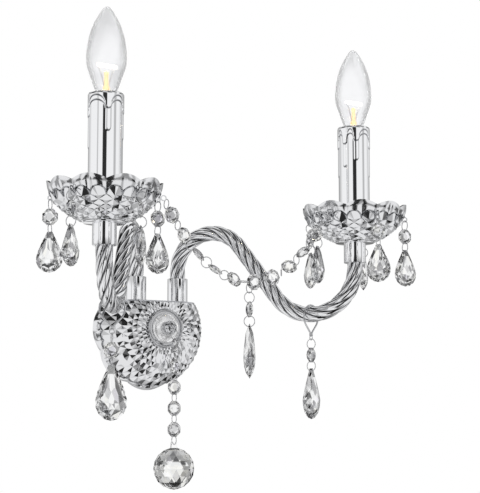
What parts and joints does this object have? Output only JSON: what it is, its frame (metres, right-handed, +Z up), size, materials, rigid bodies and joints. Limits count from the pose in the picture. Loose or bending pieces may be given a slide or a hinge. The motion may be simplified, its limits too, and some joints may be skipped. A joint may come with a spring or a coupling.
{
  "type": "crystal wall light",
  "caption": "Chrome wall light with twisted S arms, diamond-cut cups and wall dish, candle bulbs, hanging crystal drops, a bead garland and a chain with a cut ball.",
  "frame": {"origin": "on the wall plane, on the axis of the round wall dish, midway between the two wall slots", "axes": "+X along the wall to the right seen from the room, +Y into the wall, +Z up"},
  "size_m": [0.3723, 0.2274, 0.4214],
  "materials": {
    "crystal": "polished, faceted",
    "bulb_glass": "clear, blown",
    "filament": "lit",
    "nickel_cap": "bright",
    "white_plastic": "moulded",
    "cable": "smooth",
    "zinc_steel": "zinc plated",
    "mirror_plastic": "mirror plated",
    "chrome": "mirror plated"
  },
  "bodies": {
    "fixture": {"wall_dish": "mirror_plastic", "chassis_bracket": "chrome", "mounting_strap": "zinc_steel", "centre_stud": "zinc_steel", "stud_nut": "zinc_steel", "rosette_ring": "chrome", "rosette_dome": "chrome", "ball_nut": "chrome", "terminal_block": "white_plastic", "threaded_nipples": "zinc_steel", "nipple_nuts": "zinc_steel", "arm_leads": "cable", "root_sleeves": "chrome", "cup_sleeves": "chrome", "seat_plates": "chrome", "lampholders": "white_plastic", "cup_eyelets": "chrome", "left_arm": "mirror_plastic", "right_arm": "mirror_plastic", "left_drip_cup": "mirror_plastic", "right_drip_cup": "mirror_plastic", "left_candle_tube": "chrome", "right_candle_tube": "chrome"},
    "left_bulb": {"left_bulb_glass": "bulb_glass", "left_bulb_cap": "nickel_cap", "left_bulb_filament": "filament"},
    "left_back_string": {"left_back_string_crystals": "crystal", "left_back_string_rings": "chrome"},
    "left_side_string": {"left_side_string_crystals": "crystal", "left_side_string_rings": "chrome"},
    "left_front_string": {"left_front_string_crystals": "crystal", "left_front_string_rings": "chrome"},
    "left_near_string": {"left_near_string_crystals": "crystal", "left_near_string_rings": "chrome"},
    "left_inner_string": {"left_inner_string_crystals": "crystal", "left_inner_string_rings": "chrome"},
    "left_arm_drop": {"left_arm_drop_crystals": "crystal", "left_arm_drop_wires": "chrome"},
    "right_bulb": {"right_bulb_glass": "bulb_glass", "right_bulb_cap": "nickel_cap", "right_bulb_filament": "filament"},
    "right_back_string": {"right_back_string_crystals": "crystal", "right_back_string_rings": "chrome"},
    "right_side_string": {"right_side_string_crystals": "crystal", "right_side_string_rings": "chrome"},
    "right_front_string": {"right_front_string_crystals": "crystal", "right_front_string_rings": "chrome"},
    "right_near_string": {"right_near_string_crystals": "crystal", "right_near_string_rings": "chrome"},
    "right_inner_string": {"right_inner_string_crystals": "crystal", "right_inner_string_rings": "chrome"},
    "right_arm_drop": {"right_arm_drop_crystals": "crystal", "right_arm_drop_wires": "chrome"},
    "garland": {"garland_crystals": "crystal", "garland_rings": "chrome"},
    "garland_drop": {"garland_drop_crystals": "crystal", "garland_drop_rings": "chrome"},
    "centre_chain": {"centre_chain_crystals": "crystal", "centre_chain_rings": "chrome"}
  },
  "joints": [
    {"name": "left_bulb_slide", "type": "slide", "parent": "fixture", "child": "left_bulb", "axis": [0, 0, 1], "range_m": [0, 0.016]},
    {"name": "left_back_string_swing", "type": "hinge", "parent": "fixture", "child": "left_back_string", "pos_m": [-0.16802, -0.13596, 0.10075], "axis": [0.682, 0.7314, 0], "range_deg": [-10, 35]},
    {"name": "left_side_string_swing", "type": "hinge", "parent": "fixture", "child": "left_side_string", "pos_m": [-0.17494, -0.19232, 0.10075], "axis": [-0.4848, 0.8746, 0], "range_deg": [-10, 35]},
    {"name": "left_front_string_swing", "type": "hinge", "parent": "fixture", "child": "left_front_string", "pos_m": [-0.12348, -0.21631, 0.10075], "axis": [-0.9205, 0.3907, 0], "range_deg": [-10, 35]},
    {"name": "left_near_string_swing", "type": "hinge", "parent": "fixture", "child": "left_near_string", "pos_m": [-0.08476, -0.17479, 0.10075], "axis": [0.0523, -0.9986, 0], "range_deg": [-12, 8]},
    {"name": "left_inner_string_swing", "type": "hinge", "parent": "fixture", "child": "left_inner_string", "pos_m": [-0.11229, -0.12512, 0.10075], "axis": [0.9063, -0.4226, 0], "range_deg": [-10, 15]},
    {"name": "left_arm_drop_swing", "type": "hinge", "parent": "fixture", "child": "left_arm_drop", "pos_m": [-0.10646, -0.1333, 0.012], "axis": [-0.5933, -0.805, 0], "range_deg": [-20, 20]},
    {"name": "right_bulb_slide", "type": "slide", "parent": "fixture", "child": "right_bulb", "axis": [0, 0, 1], "range_m": [0, 0.016]},
    {"name": "right_back_string_swing", "type": "hinge", "parent": "fixture", "child": "right_back_string", "pos_m": [0.16802, -0.13596, 0.10075], "axis": [0.682, -0.7314, 0], "range_deg": [-10, 35]},
    {"name": "right_side_string_swing", "type": "hinge", "parent": "fixture", "child": "right_side_string", "pos_m": [0.17494, -0.19232, 0.10075], "axis": [-0.1219, -0.9925, 0], "range_deg": [-10, 35]},
    {"name": "right_front_string_swing", "type": "hinge", "parent": "fixture", "child": "right_front_string", "pos_m": [0.12348, -0.21631, 0.10075], "axis": [-0.8746, -0.4848, 0], "range_deg": [-10, 35]},
    {"name": "right_near_string_swing", "type": "hinge", "parent": "fixture", "child": "right_near_string", "pos_m": [0.08476, -0.17479, 0.10075], "axis": [-0.4226, 0.9063, 0], "range_deg": [-12, 8]},
    {"name": "right_inner_string_swing", "type": "hinge", "parent": "fixture", "child": "right_inner_string", "pos_m": [0.11229, -0.12512, 0.10075], "axis": [0.9945, -0.1045, 0], "range_deg": [-10, 15]},
    {"name": "right_arm_drop_swing", "type": "hinge", "parent": "fixture", "child": "right_arm_drop", "pos_m": [0.10646, -0.1333, 0.012], "axis": [0.5933, -0.805, 0], "range_deg": [-20, 20]},
    {"name": "garland_swing", "type": "hinge", "parent": "fixture", "child": "garland", "pos_m": [0, -0.18689, 0.10105], "axis": [1, 0, 0], "range_deg": [-30, 8]},
    {"name": "garland_drop_swing", "type": "hinge", "parent": "garland", "child": "garland_drop", "pos_m": [0.00145, -0.18689, 0.03379], "axis": [0, 1, 0], "range_deg": [-20, 20]},
    {"name": "centre_chain_swing", "type": "hinge", "parent": "fixture", "child": "centre_chain", "pos_m": [0, -0.0565, -0.00315], "axis": [0, 1, 0], "range_deg": [-20, 20]}
  ]
}
